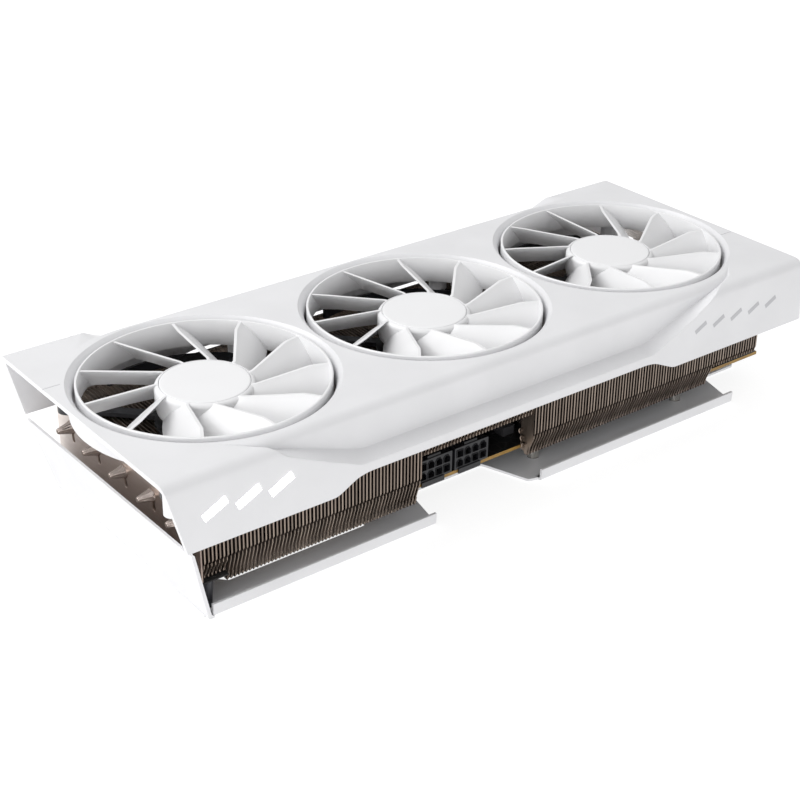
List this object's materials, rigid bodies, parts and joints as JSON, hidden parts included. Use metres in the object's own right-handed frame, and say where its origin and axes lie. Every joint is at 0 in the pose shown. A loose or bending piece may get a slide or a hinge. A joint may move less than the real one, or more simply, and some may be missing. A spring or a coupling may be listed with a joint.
{
  "type": "graphics card",
  "caption": "Flat expansion card with three axial fans in a moulded shroud over a finned heatsink, board, bent backplate and slotted bracket.",
  "frame": {"origin": "centre of the overall box's bottom, in the plane of the backplate's outer face", "axes": "+X along the card from the tail end to the bracket end, +Y from the power-socket side to the edge-connector side, +Z from the backplate up to the fans"},
  "size_m": [0.3522, 0.1562, 0.0685],
  "materials": {
    "white_shroud": "satin",
    "light_diffuser": "gloss",
    "strip_board": "satin",
    "white_sheet": "satin",
    "white_fan": "satin",
    "white_cap": "satin",
    "fin_metal": "satin",
    "pipe_metal": "satin",
    "board_laminate": "satin",
    "contact_gold": "gloss",
    "chip_carrier": "satin",
    "chip_silicon": "gloss",
    "chip_black": "matte",
    "thermal_pad": "matte",
    "coil_ferrite": "matte",
    "capacitor_can": "satin",
    "socket_black": "satin",
    "bracket_steel": "satin",
    "port_shell": "satin",
    "screw_steel": "satin",
    "spring_steel": "satin",
    "standoff_steel": "satin",
    "screw_black": "satin",
    "post_black": "satin",
    "pad_rubber": "matte",
    "lead_black": "matte",
    "plug_ivory": "satin",
    "shaft_steel": "polished",
    "bearing_bronze": "satin",
    "stator_steel": "satin",
    "base_black": "satin"
  },
  "bodies": {
    "card": {"shroud": "white_shroud", "light_panel": "light_diffuser", "light_strip": "strip_board", "backplate": "white_sheet", "fins_tail": "fin_metal", "fins_middle": "fin_metal", "fins_bracket": "fin_metal", "end_plate_tail": "fin_metal", "end_plate_bracket": "fin_metal", "heat_pipes": "pipe_metal", "cold_plate": "pipe_metal", "circuit_board": "board_laminate", "edge_contacts": "contact_gold", "processor_package": "chip_carrier", "processor_die": "chip_silicon", "memory_chips": "chip_black", "memory_pads": "thermal_pad", "supply_coils": "coil_ferrite", "supply_capacitors": "capacitor_can", "power_socket_1": "socket_black", "power_socket_2": "socket_black", "power_pins": "contact_gold", "io_bracket": "bracket_steel", "video_port_1": "port_shell", "video_port_2": "port_shell", "video_port_3": "port_shell", "video_port_4": "port_shell", "clamp_cross": "bracket_steel", "clamp_screws": "screw_steel", "clamp_springs": "spring_steel", "board_standoffs": "standoff_steel", "backplate_screws": "screw_black", "bracket_screws": "screw_black", "fan_base_screws": "screw_black", "tail_posts": "post_black", "tail_pads": "pad_rubber", "fan_leads": "lead_black", "fan_lead_plugs": "plug_ivory", "fan_bearing_1": "bearing_bronze", "fan_stator_1": "stator_steel", "fan_base_1": "base_black", "fan_bearing_2": "bearing_bronze", "fan_stator_2": "stator_steel", "fan_base_2": "base_black", "fan_bearing_3": "bearing_bronze", "fan_stator_3": "stator_steel", "fan_base_3": "base_black"},
    "fan_1": {"fan_rotor_1": "white_fan", "hub_cap_1": "white_cap", "fan_shaft_1": "shaft_steel"},
    "fan_2": {"fan_rotor_2": "white_fan", "hub_cap_2": "white_cap", "fan_shaft_2": "shaft_steel"},
    "fan_3": {"fan_rotor_3": "white_fan", "hub_cap_3": "white_cap", "fan_shaft_3": "shaft_steel"}
  },
  "joints": [
    {"name": "fan_1_spin", "type": "hinge", "parent": "card", "child": "fan_1", "pos_m": [-0.11815, -0.00885, 0.06], "axis": [0, 0, 1], "continuous": true},
    {"name": "fan_2_spin", "type": "hinge", "parent": "card", "child": "fan_2", "pos_m": [-0.00615, -0.00885, 0.06], "axis": [0, 0, 1], "continuous": true},
    {"name": "fan_3_spin", "type": "hinge", "parent": "card", "child": "fan_3", "pos_m": [0.10585, -0.00885, 0.06], "axis": [0, 0, 1], "continuous": true}
  ]
}
